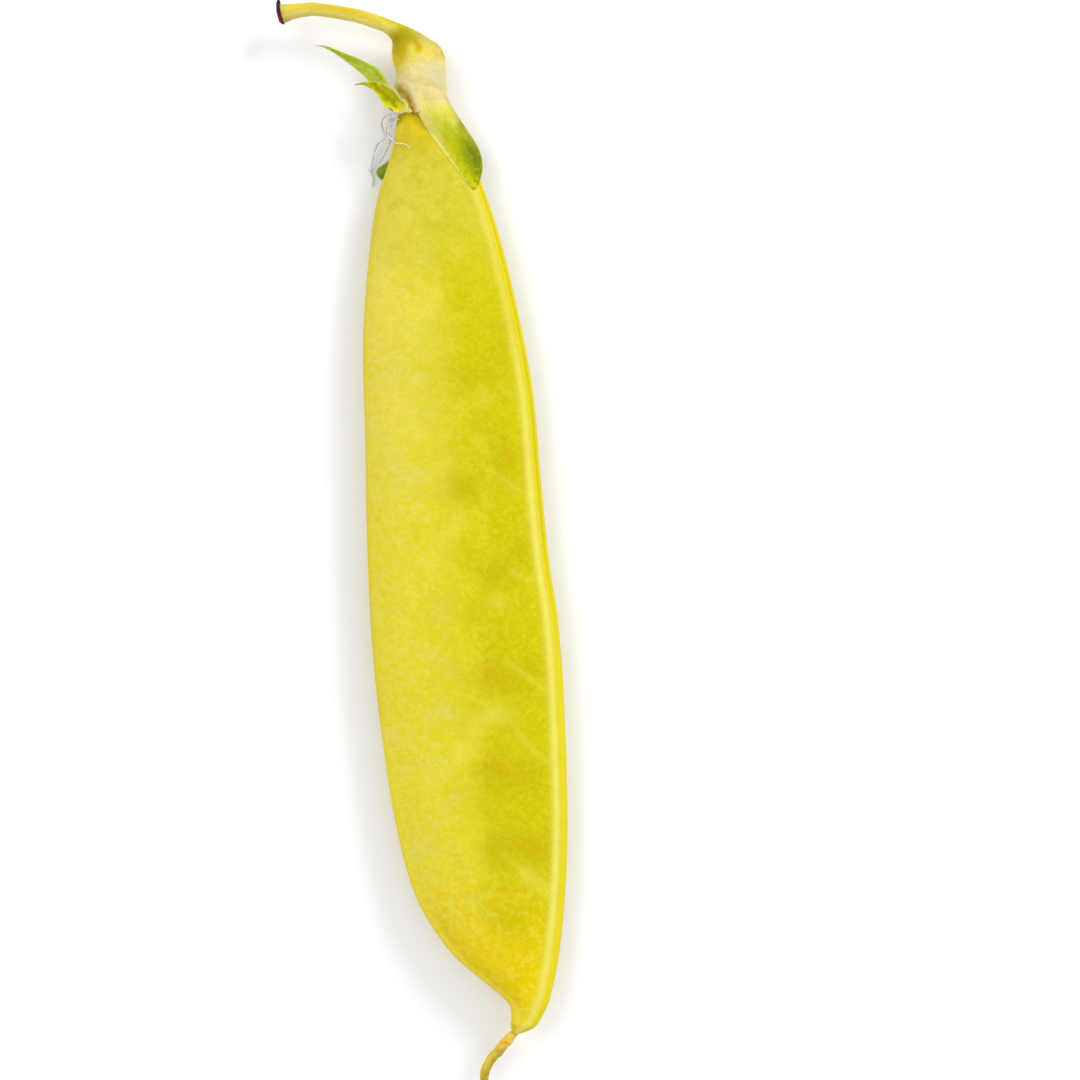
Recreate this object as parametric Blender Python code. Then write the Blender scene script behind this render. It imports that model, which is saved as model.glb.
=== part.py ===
"""A yellow snow pea pod, as picked, with its stem, calyx and withered stamens, lying on its flat side.

The tables below are in millimetres, in a drawing frame: +Y runs along the pod towards the stem,
+X points at the ribbed seam that the seeds hang from, and the pod lies on z = 0. The last step
moves everything so that the origin is under the middle of the whole object.
"""

import math

import bmesh
import bpy
from mathutils import Vector

MM = 0.001

# Pod: two walls joined at a ribbed seam on +X and at a plain back seam on -X.
TIP_Y = -46.35
STALK_Y = 49.3
TIP_REACH = 1.2
STALK_REACH = 0.9
BACK_SHARE = 0.2
SEAM_EDGE = (
    (-46.35, 7.3),
    (-45.4, 7.8),
    (-43.0, 8.95),
    (-37.0, 10.1),
    (-27.0, 10.75),
    (-13.0, 10.4),
    (-5.0, 9.8),
    (1.0, 8.9),
    (9.0, 8.1),
    (17.0, 7.4),
    (23.0, 6.4),
    (31.0, 4.6),
    (37.0, 2.8),
    (42.0, 0.6),
    (45.8, -2.4),
    (49.3, -3.0),
)
BACK_EDGE = (
    (-46.35, 5.0),
    (-44.0, 5.1),
    (-43.0, 4.6),
    (-41.0, 2.2),
    (-39.0, -0.2),
    (-37.0, -1.9),
    (-33.0, -4.3),
    (-27.0, -6.1),
    (-19.0, -7.5),
    (-9.0, -8.7),
    (1.0, -9.25),
    (13.0, -9.5),
    (23.0, -9.7),
    (31.0, -9.15),
    (37.0, -8.3),
    (42.0, -6.8),
    (46.0, -6.1),
    (49.3, -4.9),
)
HALF_THICKNESS = (
    (-46.35, 0.95),
    (-43.0, 1.4),
    (-38.0, 1.95),
    (-31.0, 2.45),
    (-20.0, 2.7),
    (5.0, 2.75),
    (22.0, 2.65),
    (33.0, 2.2),
    (42.0, 1.55),
    (46.0, 1.15),
    (49.3, 0.7),
)
MIDDLE_Z = 2.6
TIP_LIFT = 0.5
LIFT_FROM_Y = -25.0
FULLNESS = 0.6
RIB_INSET = 1.0
RIB_WIDTH = 0.42
RIB_HEIGHT = 0.22
SEED_Y = (28.5, 19.3, 8.3, -1.2, -10.7, -19.7, -27.3)
SEED_ACROSS = 0.64
SEED_SWELL = 0.16
SEED_HALF_LENGTH = 3.6
SEED_HALF_WIDTH = 0.2
POD_RINGS = 52
POD_SIDES = 36

# Calyx cup: a short bent tube, closed at the stem and open where the pod leaves it.
CUP_AXIS = (
    (-6.15, 53.72, 2.65),
    (-5.35, 52.9, 2.6),
    (-4.5, 51.8, 2.6),
    (-4.0, 50.4, 2.6),
    (-3.87, 48.6, 2.6),
    (-3.87, 46.0, 2.6),
)
CUP_HEIGHT_SHARE = 0.92
CUP_SIDES = 24
# Share of the axis and radius, up the outside, over the lip and down the inside.
CUP_PROFILE = (
    (0.0, 0.82),
    (0.09, 1.2),
    (0.2, 1.6),
    (0.31, 2.0),
    (0.42, 2.27),
    (0.54, 2.46),
    (0.67, 2.52),
    (0.8, 2.55),
    (0.93, 2.6),
    (1.0, 2.45),
    (0.93, 2.3),
    (0.8, 2.22),
    (0.68, 1.7),
    (0.62, 0.9),
)

# Stem and style: path points, each with its radius.
STEM = (
    (-17.8, 55.62, 2.75, 0.98),
    (-17.4, 55.7, 2.78, 0.86),
    (-16.6, 55.85, 2.84, 0.74),
    (-14.85, 56.05, 2.95, 0.66),
    (-13.2, 55.9, 3.0, 0.66),
    (-11.5, 55.62, 3.0, 0.66),
    (-9.9, 55.28, 2.95, 0.66),
    (-8.2, 54.74, 2.85, 0.7),
    (-7.1, 54.3, 2.75, 0.76),
    (-6.45, 53.98, 2.68, 0.8),
)
STYLE = (
    (5.35, -46.5, 3.1, 0.34),
    (4.6, -47.25, 3.0, 0.42),
    (3.8, -48.15, 2.7, 0.44),
    (2.95, -49.15, 2.35, 0.42),
    (2.5, -50.2, 2.0, 0.42),
    (2.45, -51.3, 1.7, 0.38),
    (2.75, -52.3, 1.45, 0.2),
)
STEM_POINTS = 24
STYLE_POINTS = 16
STEM_SIDES = 10

# Sepals: stations from base to tip, each with one edge's x, y, z, the other edge's, and the bow between.
SEPAL_THICKNESS = 0.3
POD_CLEARANCE = 0.2
FLOOR_CLEARANCE = 0.05
BLADE_ALONG = 13
BLADE_ACROSS = 5
SEPALS = {
    "sepal_upper_front": (
        (-4.45, 45.6, 4.85, -0.5, 45.6, 2.5, 0.7),
        (-3.1, 43.65, 4.2, 0.75, 44.0, 2.6, 0.75),
        (-1.55, 41.5, 4.1, 1.8, 42.3, 2.65, 0.6),
        (-0.1, 39.65, 4.0, 2.25, 40.5, 2.9, 0.35),
        (0.85, 38.4, 3.8, 2.05, 39.05, 3.1, 0.15),
        (1.4, 37.9, 3.5, 1.5, 37.9, 3.45, 0.0),
    ),
    "sepal_side_front": (
        (-4.75, 45.5, 5.0, -5.6, 45.35, 4.6, 0.0),
        (-5.15, 46.3, 5.2, -6.2, 45.55, 4.7, -0.1),
        (-5.75, 47.1, 5.25, -6.85, 45.95, 4.65, -0.2),
        (-6.9, 47.8, 5.05, -7.65, 46.65, 4.55, -0.2),
        (-8.3, 48.0, 4.8, -8.45, 47.4, 4.45, -0.1),
        (-9.5, 48.05, 4.5, -9.55, 47.8, 4.4, 0.0),
        (-10.35, 48.05, 4.35, -10.35, 47.95, 4.3, 0.0),
    ),
    "sepal_middle": (
        (-6.85, 46.2, 3.3, -6.95, 46.0, 2.2, 0.1),
        (-7.05, 46.9, 3.6, -7.5, 46.6, 2.6, 0.2),
        (-7.2, 48.1, 3.9, -8.1, 47.6, 3.0, 0.25),
        (-7.85, 49.45, 4.0, -8.95, 48.65, 3.3, 0.2),
        (-9.15, 50.45, 4.0, -10.15, 49.75, 3.55, 0.15),
        (-11.35, 51.4, 3.95, -11.85, 50.85, 3.7, 0.1),
        (-13.3, 52.15, 3.85, -13.4, 51.75, 3.75, 0.03),
        (-14.4, 52.3, 3.8, -14.4, 52.2, 3.76, 0.0),
    ),
    "sepal_side_back": (
        (-5.7, 45.6, 0.8, -3.8, 45.6, 0.35, -0.1),
        (-6.0, 44.3, 0.7, -3.9, 44.3, 0.4, -0.05),
        (-6.4, 42.8, 0.6, -4.5, 42.6, 0.35, 0.0),
        (-7.1, 41.4, 0.5, -5.4, 40.9, 0.35, 0.0),
        (-8.35, 40.5, 0.45, -6.8, 39.4, 0.35, 0.0),
        (-8.5, 39.9, 0.45, -8.15, 39.3, 0.4, 0.0),
    ),
    "sepal_upper_back": (
        (-3.3, 45.6, 0.35, -0.8, 45.6, 2.2, -0.6),
        (-2.4, 43.9, 0.35, 0.3, 44.0, 1.9, -0.6),
        (-1.2, 42.0, 0.4, 1.2, 42.3, 1.8, -0.4),
        (0.0, 40.4, 0.5, 1.7, 40.8, 1.6, -0.25),
        (0.8, 39.3, 0.7, 1.6, 39.5, 1.2, -0.1),
        (1.2, 38.8, 1.0, 1.3, 38.8, 1.1, 0.0),
    ),
}

# Withered stamens: a papery sheath beside the neck, and threads that trail from it.
SHEATH_THICKNESS = 0.14
SHEATH = (
    (-6.8, 45.7, 2.9, -5.9, 45.65, 4.0, 0.12),
    (-6.95, 45.3, 2.85, -6.1, 45.15, 3.9, 0.15),
    (-7.0, 44.85, 2.85, -6.45, 44.75, 3.7, 0.1),
    (-6.95, 44.5, 3.0, -6.85, 44.45, 3.2, 0.0),
)
THREAD_RADIUS = 0.09
THREAD_POINTS = 22
THREAD_SIDES = 6
THREADS = (
    (
        (-7.15, 45.6, 2.5),
        (-7.45, 45.45, 2.4),
        (-7.82, 45.05, 2.1),
        (-7.88, 44.55, 1.5),
        (-7.7, 43.95, 1.1),
        (-7.6, 43.45, 0.95),
        (-8.25, 42.95, 0.75),
        (-8.65, 42.2, 0.55),
        (-8.8, 41.5, 0.45),
        (-8.95, 40.8, 0.35),
        (-8.98, 40.1, 0.3),
        (-8.8, 39.4, 0.25),
        (-8.95, 38.6, 0.2),
    ),
    (
        (-7.15, 43.95, 1.9),
        (-7.0, 43.2, 1.7),
        (-7.2, 42.6, 1.55),
        (-7.5, 41.95, 1.45),
        (-7.9, 41.3, 1.2),
        (-8.35, 40.7, 0.95),
        (-8.9, 40.35, 0.75),
        (-9.35, 40.15, 0.6),
    ),
    (
        (-6.95, 44.2, 3.2),
        (-7.1, 43.75, 3.35),
        (-7.1, 43.3, 3.5),
        (-6.7, 42.8, 3.75),
        (-6.2, 42.5, 3.95),
        (-5.5, 42.4, 4.15),
        (-4.8, 41.95, 4.4),
    ),
    (
        (-7.05, 44.95, 2.4),
        (-7.4, 44.35, 2.3),
        (-7.35, 43.7, 2.2),
        (-7.15, 43.3, 2.15),
        (-6.95, 42.95, 2.15),
    ),
)

POD_YELLOW = (0.70, 0.60, 0.02)
STEM_YELLOW = (0.62, 0.50, 0.05)
CALYX_CREAM = (0.72, 0.62, 0.26)
SEPAL_GREEN = (0.28, 0.38, 0.02)
STYLE_OCHRE = (0.60, 0.42, 0.05)
PAPER_WHITE = (0.72, 0.72, 0.70)


def clear_scene():
    """Removes every object that the scene starts with."""
    for old in list(bpy.data.objects):
        bpy.data.objects.remove(old)


def finish(name, colour, roughness):
    """A plain Principled material."""
    made = bpy.data.materials.new(name)
    made.use_nodes = True
    shader = made.node_tree.nodes["Principled BSDF"]
    shader.inputs["Base Color"].default_value = (*colour, 1.0)
    shader.inputs["Roughness"].default_value = roughness
    shader.inputs["Metallic"].default_value = 0.0
    return made


def smooth(knots, at):
    """The value at a place on the smooth curve through knots, whose first items rise."""
    last = len(knots) - 1
    at = min(max(at, knots[0][0]), knots[last][0])
    i = max(k for k in range(last) if knots[k][0] <= at)

    def slope(k):
        before, after = knots[max(k - 1, 0)], knots[min(k + 1, last)]
        return (after[1] - before[1]) / (after[0] - before[0])

    span = knots[i + 1][0] - knots[i][0]
    t = (at - knots[i][0]) / span
    rise = knots[i + 1][1] - knots[i][1]
    start, end = slope(i) * span, slope(i + 1) * span
    return knots[i][1] + t * (start + t * (3 * rise - 2 * start - end + t * (start + end - 2 * rise)))


def along(rows, share, column):
    """One column of evenly numbered rows, read smoothly at a share of their length."""
    knots = [(k / (len(rows) - 1), row[column]) for k, row in enumerate(rows)]
    return smooth(knots, share)


def place_on(rows, share):
    """The point at a share of the path that the first three columns of rows give."""
    return Vector([along(rows, share, column) for column in range(3)])


def direction_on(rows, share):
    """The unit direction of that path."""
    step = 0.01
    ahead, behind = min(share + step, 1.0), max(share - step, 0.0)
    return (place_on(rows, ahead) - place_on(rows, behind)).normalized()


def bell(x):
    """A smooth bump, 1 at 0 and nearly 0 past 2."""
    return math.exp(-x * x)


def closing(distance, reach):
    """The share of full size left at a distance from an end that rounds off over reach."""
    share = min(max(distance / reach, 0.0), 1.0)
    return math.sqrt(share * (2.0 - share))


def pod_section(y):
    """The pod's back edge, seam edge, half thickness and middle height at y."""
    size = closing(y - TIP_Y, TIP_REACH) * closing(STALK_Y - y, STALK_REACH)
    back, seam = smooth(BACK_EDGE, y), smooth(SEAM_EDGE, y)
    lost = (seam - back) * (1 - size)
    share = BACK_SHARE if y < 0 else 0.5
    towards_tip = max(LIFT_FROM_Y - y, 0.0) / (LIFT_FROM_Y - TIP_Y)
    middle_z = MIDDLE_Z + TIP_LIFT * towards_tip**2
    return back + share * lost, seam - (1 - share) * lost, smooth(HALF_THICKNESS, y) * size, middle_z


def wall_height(x, y):
    """How far the pod's wall stands off its middle plane at x, y."""
    back, seam, thick, _ = pod_section(y)
    width = max(seam - back, 1e-6)
    across = min(max((x - back) / width, 0.0), 1.0)
    lens = (4 * across * (1 - across)) ** FULLNESS
    full = min(width / 6.0, 1.0)
    rib = RIB_HEIGHT * full * bell((seam - x - RIB_INSET * full) / RIB_WIDTH)
    beside = bell((across - SEED_ACROSS) / SEED_HALF_WIDTH)
    seeds = sum(bell((y - seed) / SEED_HALF_LENGTH) for seed in SEED_Y)
    return thick * lens + (rib + SEED_SWELL * beside * seeds) * min(4 * lens, 1.0)


def new_object(name, bm, material, smooth_under_degrees):
    """An object made from a bmesh, in metres, with soft edges shaded smooth."""
    bmesh.ops.scale(bm, vec=(MM, MM, MM), verts=bm.verts)
    mesh = bpy.data.meshes.new(name)
    bm.to_mesh(mesh)
    bm.free()
    mesh.materials.append(material)
    mesh.shade_smooth()
    mesh.set_sharp_from_angle(angle=math.radians(smooth_under_degrees))
    made = bpy.data.objects.new(name, mesh)
    bpy.context.scene.collection.objects.link(made)
    return made


def make_pod(material):
    """A ball drawn out along Y, with its rings set to the pod's sections and its underside resting flat."""
    bm = bmesh.new()
    bmesh.ops.create_uvsphere(bm, u_segments=POD_SIDES, v_segments=POD_RINGS, radius=1.0)
    for v in bm.verts:
        y = (STALK_Y + TIP_Y) / 2 + (STALK_Y - TIP_Y) / 2 * v.co.z
        around = math.atan2(v.co.y, v.co.x) if abs(v.co.z) < 1 - 1e-6 else 0.0
        back, seam, _, middle_z = pod_section(y)
        x = back + (seam - back) * (1 - math.cos(around)) / 2
        height = wall_height(x, y) if abs(math.sin(around)) > 1e-4 else 0.0
        z = middle_z + math.copysign(height, math.sin(around))
        v.co = (x, y, max(z, 0.0))
    return new_object("pod", bm, material, 60)


def make_cup(material):
    """A ball pushed in on itself: up the cup's outside, over its lip and down to the inside's floor."""
    rings = len(CUP_PROFILE)
    bm = bmesh.new()
    bmesh.ops.create_uvsphere(bm, u_segments=CUP_SIDES, v_segments=rings + 1, radius=1.0)
    for v in bm.verts:
        ring = round(math.acos(max(-1.0, min(v.co.z, 1.0))) / math.pi * (rings + 1))
        around = math.atan2(v.co.y, v.co.x)
        share, radius = CUP_PROFILE[min(max(ring - 1, 0), rings - 1)]
        if ring in (0, rings + 1):
            radius = 0.0
        heading = direction_on(CUP_AXIS, share)
        side = heading.cross(Vector((0, 0, 1)))
        across, up = radius * math.cos(around), radius * math.sin(around) * CUP_HEIGHT_SHARE
        v.co = place_on(CUP_AXIS, share) + side * across + Vector((0, 0, up))
    bmesh.ops.recalc_face_normals(bm, faces=bm.faces)
    return new_object("calyx_cup", bm, material, 50)


def make_tube(name, rows, points, sides, material):
    """A round stalk along rows of x, y, z and radius."""
    curve = bpy.data.curves.new(name, "CURVE")
    curve.dimensions = "3D"
    curve.fill_mode = "FULL"
    curve.bevel_depth = MM
    curve.bevel_resolution = (sides - 4) // 2
    curve.use_fill_caps = True
    spline = curve.splines.new("POLY")
    spline.points.add(points - 1)
    for k, point in enumerate(spline.points):
        share = k / (points - 1)
        point.co = (*(place_on(rows, share) * MM), 1.0)
        point.radius = along(rows, share, 3)
    curve.materials.append(material)
    made = bpy.data.objects.new(name, curve)
    bpy.context.scene.collection.objects.link(made)
    return made


def off_the_pod(place, room):
    """The same place, moved up or down until it has this much room from the pod and from the surface below."""
    height = wall_height(place.x, place.y)
    if height > 0:
        middle_z = pod_section(place.y)[3]
        if place.z >= middle_z:
            place.z = max(place.z, middle_z + height + room)
        else:
            place.z = min(place.z, middle_z - height - room)
    return Vector((place.x, place.y, max(place.z, room - POD_CLEARANCE + FLOOR_CLEARANCE)))


def make_blade(name, rows, thickness, material):
    """A thin pointed blade: a flat grid laid between two edges, bowed outwards, then given a thickness."""
    bm = bmesh.new()
    bmesh.ops.create_grid(bm, x_segments=BLADE_ALONG, y_segments=BLADE_ACROSS, size=1.0)
    for v in bm.verts:
        share, across = (v.co.x + 1) / 2, v.co.y
        near, near_y, near_z, far, far_y, far_z, bow = (along(rows, share, column) for column in range(7))
        near, far = Vector((near, near_y, near_z)), Vector((far, far_y, far_z))
        outward = direction_on(rows, share).cross(far - near).normalized()
        place = near.lerp(far, (1 + across) / 2) + outward * bow * (1 - across * across)
        v.co = off_the_pod(place, thickness / 2 + POD_CLEARANCE)
    made = new_object(name, bm, material, 60)
    solid = made.modifiers.new("Thickness", "SOLIDIFY")
    solid.thickness = thickness * MM
    solid.offset = 0.0
    return made


def centre_on_origin():
    """Moves the whole object so that its box stands centred over the origin."""
    graph = bpy.context.evaluated_depsgraph_get()
    pieces = list(bpy.context.scene.objects)
    points = [v.co.copy() for made in pieces for v in made.evaluated_get(graph).to_mesh().vertices]
    middle_x = (min(p.x for p in points) + max(p.x for p in points)) / 2
    middle_y = (min(p.y for p in points) + max(p.y for p in points)) / 2
    for made in pieces:
        made.location = (-middle_x, -middle_y, 0.0)


def main():
    clear_scene()
    make_pod(finish("pod_skin", POD_YELLOW, 0.45))
    make_cup(finish("calyx_skin", CALYX_CREAM, 0.5))
    make_tube("stem", STEM, STEM_POINTS, STEM_SIDES, finish("stem_skin", STEM_YELLOW, 0.5))
    make_tube("style", STYLE, STYLE_POINTS, STEM_SIDES, finish("style_skin", STYLE_OCHRE, 0.65))
    sepal_skin = finish("sepal_skin", SEPAL_GREEN, 0.5)
    for name, rows in SEPALS.items():
        make_blade(name, rows, SEPAL_THICKNESS, sepal_skin)
    papery = finish("papery", PAPER_WHITE, 0.8)
    make_blade("stamen_sheath", SHEATH, SHEATH_THICKNESS, papery)
    for number, path in enumerate(THREADS, start=1):
        rows = [(*place, THREAD_RADIUS) for place in path]
        make_tube(f"stamen_thread_{number}", rows, THREAD_POINTS, THREAD_SIDES, papery)
    centre_on_origin()


main()
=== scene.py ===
# %% [markdown]
# # A yellow pea pod, as picked
#
# The object is one flat-podded pea lying on its side: the pod, the calyx that its neck comes out of, the green
# sepals, the curved stem with its dried cut end, a few withered stamen threads and the dry tail at the tip. The
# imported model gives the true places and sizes. Each solid is replaced by a finer piece of the same shape, because a
# plant's charm is in its thin edges, veins, seams and mottled colour. All tables are in millimetres, with x across
# the pod, y along it and z up, and the pod's box tells how far the tables lie from the frame.

# %% Load the frame
import functools
import math

import bmesh
import bpy
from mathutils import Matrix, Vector, noise


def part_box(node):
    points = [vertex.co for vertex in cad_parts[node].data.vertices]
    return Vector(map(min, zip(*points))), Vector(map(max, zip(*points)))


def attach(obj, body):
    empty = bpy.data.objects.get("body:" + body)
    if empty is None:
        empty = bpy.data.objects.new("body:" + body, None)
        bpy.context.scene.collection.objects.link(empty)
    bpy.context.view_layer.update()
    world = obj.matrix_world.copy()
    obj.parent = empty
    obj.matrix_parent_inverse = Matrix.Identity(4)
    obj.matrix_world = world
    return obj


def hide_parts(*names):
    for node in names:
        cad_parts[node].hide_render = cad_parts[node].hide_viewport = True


MM = 0.001

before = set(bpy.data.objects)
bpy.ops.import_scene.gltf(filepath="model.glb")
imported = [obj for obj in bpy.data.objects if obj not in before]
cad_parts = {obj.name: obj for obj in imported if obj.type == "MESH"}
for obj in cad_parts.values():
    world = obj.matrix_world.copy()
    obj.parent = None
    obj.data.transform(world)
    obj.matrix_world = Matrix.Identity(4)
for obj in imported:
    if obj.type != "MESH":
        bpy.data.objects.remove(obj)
scene = bpy.context.scene
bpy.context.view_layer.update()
pod_low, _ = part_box("pod")

# %% [markdown]
# ## Numbers that run smoothly along a piece
#
# A leaf or a pod changes its width, height and bend all the way along. A short table of stations is easy to read and
# to change, and a smooth curve through the stations fills in the rest. Two helpers are needed all the time: `bell`, a
# soft bump, and `closing`, an end that rounds off.


# %% Curves through stations
def smooth(knots, at):
    """The value at a place on the smooth curve through knots, whose first items rise."""
    last = len(knots) - 1
    at = min(max(at, knots[0][0]), knots[last][0])
    i = max(k for k in range(last) if knots[k][0] <= at)

    def slope(k):
        before, after = knots[max(k - 1, 0)], knots[min(k + 1, last)]
        return (after[1] - before[1]) / (after[0] - before[0])

    span = knots[i + 1][0] - knots[i][0]
    t = (at - knots[i][0]) / span
    rise = knots[i + 1][1] - knots[i][1]
    start, end = slope(i) * span, slope(i + 1) * span
    return knots[i][1] + t * (start + t * (3 * rise - 2 * start - end + t * (start + end - 2 * rise)))


def along(rows, share, column):
    """One column of evenly numbered rows, read smoothly at a share of their length."""
    knots = [(k / (len(rows) - 1), row[column]) for k, row in enumerate(rows)]
    return smooth(knots, share)


def place_on(rows, share):
    """The point at a share of the path that the first three columns of rows give."""
    return Vector([along(rows, share, column) for column in range(3)])


def direction_on(rows, share):
    """The unit direction of that path."""
    ahead, behind = min(share + 0.01, 1.0), max(share - 0.01, 0.0)
    return (place_on(rows, ahead) - place_on(rows, behind)).normalized()


def bell(x):
    """A smooth bump, 1 at 0 and nearly 0 past 2."""
    return math.exp(-x * x)


def closing(distance, reach):
    """The share of full size left at a distance from an end that rounds off over reach."""
    share = min(max(distance / reach, 0.0), 1.0)
    return math.sqrt(share * (2.0 - share))


def fade(x, low, high):
    """0 below low, 1 above high, and a soft step between."""
    t = min(max((x - low) / (high - low), 0.0), 1.0)
    return t * t * (3 - 2 * t)


print("one width from its middle, a bell is down to", round(bell(1.0), 2))

# %% [markdown]
# ## Marks on a plant
#
# Seeds, folds, cracks and stains are either round or long. `spot` is 1 in the middle of a soft oval, and `line` is 1
# along a bent soft line. The same mark often raises the surface and colours it too, so both work on plain numbers,
# when a shape is made, and on a material's numbers, which come later and have the same operators.


# %% Soft marks
def soft(squared):
    """1 where a squared distance is 0, and nearly 0 where it is past 4."""
    return math.exp(-squared) if isinstance(squared, float) else (squared * -1).math("EXPONENT")


def spot(x, y, centre_x, centre_y, half_width, half_length):
    """A soft oval mark."""
    across, lengthways = (x - centre_x) / half_width, (y - centre_y) / half_length
    return soft(across * across + lengthways * lengthways)


def line(x, y, points, half_width):
    """A soft mark along a bent line."""
    plain = isinstance(x, float)
    nearest = None
    for (ax, ay), (bx, by) in zip(points, points[1:]):
        ux, uy = bx - ax, by - ay
        share = ((x - ax) * ux + (y - ay) * uy) / (ux * ux + uy * uy)
        share = min(max(share, 0.0), 1.0) if plain else share.math("ADD", 0.0, clamp=True)
        dx, dy = x - ax - share * ux, y - ay - share * uy
        far = dx * dx + dy * dy
        if nearest is None:
            nearest = far
        else:
            nearest = min(nearest, far) if plain else nearest.math("MINIMUM", far)
    return soft(nearest / (half_width * half_width))


print("at its half width, a spot is down to", round(spot(0.5, 0.0, 0.0, 0.0, 0.5, 1.0), 2))

# %% [markdown]
# ## One way to make every piece
#
# Nearly everything here is a long closed skin: the pod, the stem, a sepal, a thread. All can be drawn out of a ball.
# The ball's rings are moved, one by one, to where the piece's sections are, so the skin is closed at both ends from
# the start and its faces stay even. A shape function says where the point at a share of the length and an angle
# around it goes, and gives the values that the material will read there, such as the distance from a seam.


# %% Draw a piece out of a ball
def put_in_scene(name, data):
    """A new object in the scene, with this mesh, lamp or camera."""
    made = bpy.data.objects.new(name, data)
    scene.collection.objects.link(made)
    return made


def as_piece(name, bm):
    """The object that a finished bmesh makes."""
    mesh = bpy.data.meshes.new(name)
    bm.to_mesh(mesh)
    bm.free()
    mesh.shade_smooth()
    return put_in_scene(name, mesh)


def drawn_out(name, sides, rings, shape):
    """An object whose skin is a ball with every ring moved to shape(share, angle), in millimetres."""
    bm = bmesh.new()
    bmesh.ops.create_uvsphere(bm, u_segments=sides, v_segments=rings, radius=1.0)
    points = []
    for v in bm.verts:
        share = math.acos(max(-1.0, min(v.co.z, 1.0))) / math.pi
        angle = math.atan2(v.co.y, v.co.x) if 1e-6 < share < 1 - 1e-6 else 0.0
        points.append(shape(share, angle))
    layers = {key: bm.verts.layers.float.new(key) for key in points[0][1]}
    for v, (place, values) in zip(bm.verts, points):
        v.co = place * MM + DRAWING_TO_FRAME
        for key, layer in layers.items():
            v[layer] = values[key]
    bmesh.ops.recalc_face_normals(bm, faces=bm.faces)
    return as_piece(name, bm)


def keep(piece, slot, *nodes):
    """The piece rides with the pod and stands for its CAD nodes, which are hidden; slot is not used."""
    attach(piece, "root")
    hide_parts(*nodes)
    size = [round((max(c) - min(c)) / MM, 1) for c in zip(*(v.co for v in piece.data.vertices))]
    print(piece.name, "is", size, "mm with", len(piece.data.polygons), "faces")


# %% [markdown]
# ## The pod's outline
#
# A pea pod is one leaf folded along its middle. The fold is the plain back seam, and the two edges meet in the ribbed
# seam that the seeds hang from. Seen from its flat side the back seam runs almost straight and then sweeps in to the
# tip, while the ribbed seam bows out gently. The tables give both edges, and half the thickness, from tip to stalk.

# %% Outline tables, in millimetres
TIP_Y = -46.35
STALK_Y = 49.3
TIP_REACH = 1.2
STALK_REACH = 0.9
BACK_SHARE = 0.2
SEAM_EDGE = (
    (-46.35, 7.3), (-45.4, 7.8), (-43.0, 8.95), (-37.0, 10.1), (-27.0, 10.75), (-13.0, 10.4), (-5.0, 9.8),
    (1.0, 8.9), (9.0, 8.1), (17.0, 7.4), (23.0, 6.4), (31.0, 4.6), (37.0, 2.8), (42.0, 0.6), (45.8, -2.4),
    (49.3, -3.0),
)
BACK_EDGE = (
    (-46.35, 5.0), (-44.0, 5.1), (-43.0, 4.6), (-41.0, 2.2), (-39.0, -0.2), (-37.0, -1.9), (-33.0, -4.3),
    (-27.0, -6.1), (-19.0, -7.5), (-9.0, -8.7), (1.0, -9.25), (13.0, -9.5), (23.0, -9.7), (31.0, -9.15),
    (37.0, -8.3), (42.0, -6.8), (46.0, -6.1), (49.3, -4.9),
)
HALF_THICKNESS = (
    (-46.35, 0.95), (-43.0, 1.4), (-38.0, 1.95), (-31.0, 2.45), (-20.0, 2.7), (5.0, 2.75), (22.0, 2.65),
    (33.0, 2.2), (42.0, 1.55), (46.0, 1.15), (49.3, 0.7),
)
MIDDLE_Z = 2.6
TIP_LIFT = 0.5
LIFT_FROM_Y = -25.0
FULLNESS = 0.6
widest_back = min(x for _, x in BACK_EDGE)
DRAWING_TO_FRAME = Vector((pod_low.x - widest_back * MM, pod_low.y - TIP_Y * MM, 0.0))
print("the drawing moves by", [round(c / MM, 2) for c in DRAWING_TO_FRAME], "mm into the frame")

# %% [markdown]
# ## The pod's surface
#
# The wall is a shallow lens. Along the ribbed seam it carries a rounded rib, and outside the rib, in the half near
# the stalk, a thin groove shows where the leaf's two edges meet. Young seeds in a row near that seam push the wall up
# a little and shade it, and each hangs on a short cord that shows as a pale slanting line. The wall is never quite
# even, so a slow ripple and a finer one are added. The tables give each seed's and each pale spot's place, half
# width, half length and strength, and each cord's and each pale band's line, half width and strength.

# %% Tables of seeds, spots, cords and bands
SEEDS = (
    (1.0, 19.2, 2.6, 1.5, 0.32), (4.2, 22.6, 1.6, 4.2, 0.3), (4.5, 11.2, 1.5, 2.4, 0.5),
    (0.6, 8.5, 1.8, 1.5, 0.45), (3.5, -0.3, 2.4, 1.2, 0.45), (6.0, 2.0, 0.9, 1.7, 0.4),
    (3.1, -10.2, 1.8, 1.9, 0.6), (7.0, -9.5, 1.0, 1.0, 0.5), (5.3, -11.4, 1.9, 1.3, 0.4),
    (3.5, -19.5, 1.7, 1.8, 0.7), (6.5, -20.5, 2.1, 1.6, 0.5), (3.7, -27.8, 1.5, 1.9, 0.55),
    (7.8, -28.0, 1.4, 1.7, 0.7), (5.8, -26.8, 2.0, 1.3, 0.45), (5.0, -34.8, 2.4, 2.4, 0.25),
)
NECK_SHADE = (-3.9, 42.7, 1.4, 1.6)
PALE_SPOTS = (
    (2.2, 17.0, 1.0, 1.0, 0.3), (3.7, -3.2, 1.1, 0.9, 0.35), (4.0, -14.5, 1.8, 0.9, 0.25),
    (-3.5, 24.0, 2.2, 3.0, 0.25), (-5.0, 15.5, 2.2, 3.2, 0.25), (-7.5, 12.0, 1.6, 1.6, 0.3),
)
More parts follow.
